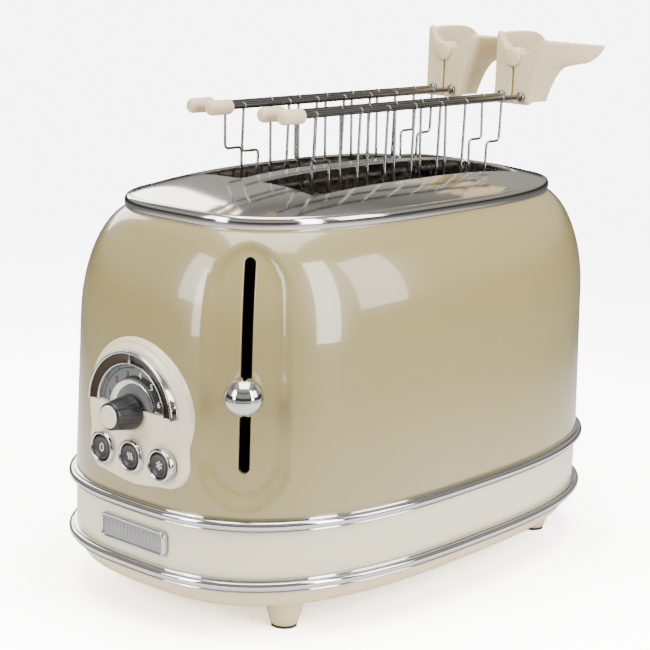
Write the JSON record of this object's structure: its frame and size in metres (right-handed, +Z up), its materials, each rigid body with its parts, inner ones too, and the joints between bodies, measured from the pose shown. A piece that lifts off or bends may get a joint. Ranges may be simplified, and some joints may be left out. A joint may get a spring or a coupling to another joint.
{
  "type": "pop-up toaster",
  "caption": "Retro pop-up toaster with long bread slots, lift lever, browning dial, push buttons, crumb tray and lift-out sandwich tongs.",
  "frame": {"origin": "on the worktop, under the centre of the housing's plan outline", "axes": "+X along the bread slots away from the control end, +Y across the slots, +Z up"},
  "size_m": [0.3236, 0.196, 0.2799],
  "materials": {
    "paint": "glossy beige enamel paint",
    "ivory_plastic": "glossy ivory plastic",
    "cream_plastic": "satin cream plastic",
    "steel": "polished and brushed stainless steel",
    "chrome": "bright chrome plate",
    "zinc_sheet": "plain galvanised sheet",
    "mica": "mica board, dull",
    "ribbon": "oxidised resistance ribbon",
    "black_plastic": "black plastic",
    "rubber": "matt black rubber",
    "dial": "grey printed dial",
    "board": "circuit board"
  },
  "bodies": {
    "housing": {"body_shell": "paint", "top_plate": "steel", "upper_trim_ring": "chrome", "base_band": "ivory_plastic", "lower_trim_ring": "chrome", "base_pan": "cream_plastic", "feet": "cream_plastic", "foot_pads": "rubber", "base_screws": "steel", "chassis_left": "zinc_sheet", "chassis_right": "zinc_sheet", "reflector_front": "zinc_sheet", "reflector_rear": "zinc_sheet", "centre_divider": "zinc_sheet", "heater_cards": "mica", "heater_windings": "ribbon", "bread_guards_front": "steel", "bread_guards_rear": "steel", "guide_rods": "chrome", "carriage_spring": "steel", "latch_magnet": "black_plastic", "control_board": "board", "potentiometer": "zinc_sheet", "control_panel": "ivory_plastic", "dial_frame": "chrome", "dial_face": "dial", "button_bezels": "chrome", "badge_frame": "chrome", "badge_inset": "steel", "cord_gland": "rubber"},
    "browning_dial": {"browning_knob": "black_plastic", "knob_cap": "ivory_plastic"},
    "cancel": {"cancel_button": "black_plastic"},
    "reheat": {"reheat_button": "black_plastic"},
    "defrost": {"defrost_button": "black_plastic"},
    "tray": {"crumb_tray": "zinc_sheet"},
    "carriage": {"carriage_bracket": "zinc_sheet", "bread_lift_front": "steel", "bread_lift_rear": "steel", "armature_plate": "zinc_sheet", "lever_stem": "steel", "lever_ball": "chrome"},
    "tong_front": {"tong_front_pin": "cream_plastic"},
    "tong_front_thumb_jaw": {"tong_front_thumb_handle": "cream_plastic", "tong_front_thumb_rod": "chrome", "tong_front_thumb_cage": "chrome", "tong_front_thumb_cap": "cream_plastic"},
    "tong_front_grip_jaw": {"tong_front_grip_handle": "cream_plastic", "tong_front_grip_rod": "chrome", "tong_front_grip_cage": "chrome", "tong_front_grip_cap": "cream_plastic"},
    "tong_rear": {"tong_rear_pin": "cream_plastic"},
    "tong_rear_thumb_jaw": {"tong_rear_thumb_handle": "cream_plastic", "tong_rear_thumb_rod": "chrome", "tong_rear_thumb_cage": "chrome", "tong_rear_thumb_cap": "cream_plastic"},
    "tong_rear_grip_jaw": {"tong_rear_grip_handle": "cream_plastic", "tong_rear_grip_rod": "chrome", "tong_rear_grip_cage": "chrome", "tong_rear_grip_cap": "cream_plastic"}
  },
  "joints": [
    {"name": "lift_slide", "type": "slide", "parent": "housing", "child": "carriage", "axis": [0, 0, 1], "range_m": [-0.028, 0.055], "stiffness_N_per_m": 60, "springref_m": 0.045, "deforming": ["carriage_spring"]},
    {"name": "browning_turn", "type": "hinge", "parent": "housing", "child": "browning_dial", "pos_m": [-0.1534, -0.0015, 0.105], "axis": [-1, 0, 0], "range_deg": [-150, 150]},
    {"name": "cancel_press", "type": "slide", "parent": "housing", "child": "cancel", "axis": [1, 0, 0], "range_m": [0, 0.002], "stiffness_N_per_m": 300, "springref_m": -0.001},
    {"name": "reheat_press", "type": "slide", "parent": "housing", "child": "reheat", "axis": [1, 0, 0], "range_m": [0, 0.002], "stiffness_N_per_m": 300, "springref_m": -0.001},
    {"name": "defrost_press", "type": "slide", "parent": "housing", "child": "defrost", "axis": [1, 0, 0], "range_m": [0, 0.002], "stiffness_N_per_m": 300, "springref_m": -0.001},
    {"name": "tray_slide", "type": "slide", "parent": "housing", "child": "tray", "axis": [1, 0, 0], "range_m": [0, 0.22]},
    {"name": "tong_front_lift", "type": "slide", "parent": "carriage", "child": "tong_front", "axis": [0, 0, 1], "range_m": [0, 0.15]},
    {"name": "tong_front_grip_open", "type": "hinge", "parent": "tong_front", "child": "tong_front_grip_jaw", "pos_m": [0.108, -0.0243, 0.2645], "axis": [1, 0, 0], "range_deg": [0, 4.2], "stiffness_Nm_per_rad": 1.2, "springref_deg": -8.59},
    {"name": "tong_front_thumb_open", "type": "hinge", "parent": "tong_front", "child": "tong_front_thumb_jaw", "pos_m": [0.108, -0.0243, 0.2645], "axis": [-1, 0, 0], "range_deg": [0, 4.2], "stiffness_Nm_per_rad": 1.2, "springref_deg": -8.59},
    {"name": "tong_rear_lift", "type": "slide", "parent": "carriage", "child": "tong_rear", "axis": [0, 0, 1], "range_m": [0, 0.15]},
    {"name": "tong_rear_grip_open", "type": "hinge", "parent": "tong_rear", "child": "tong_rear_grip_jaw", "pos_m": [0.108, 0.0243, 0.2645], "axis": [1, 0, 0], "range_deg": [0, 4.2], "stiffness_Nm_per_rad": 1.2, "springref_deg": -8.59},
    {"name": "tong_rear_thumb_open", "type": "hinge", "parent": "tong_rear", "child": "tong_rear_thumb_jaw", "pos_m": [0.108, 0.0243, 0.2645], "axis": [-1, 0, 0], "range_deg": [0, 4.2], "stiffness_Nm_per_rad": 1.2, "springref_deg": -8.59}
  ],
  "couplings": [
    {"joint": "tong_front_thumb_open", "follows": "tong_front_grip_open", "ratio": 1},
    {"joint": "tong_rear_thumb_open", "follows": "tong_rear_grip_open", "ratio": 1}
  ]
}
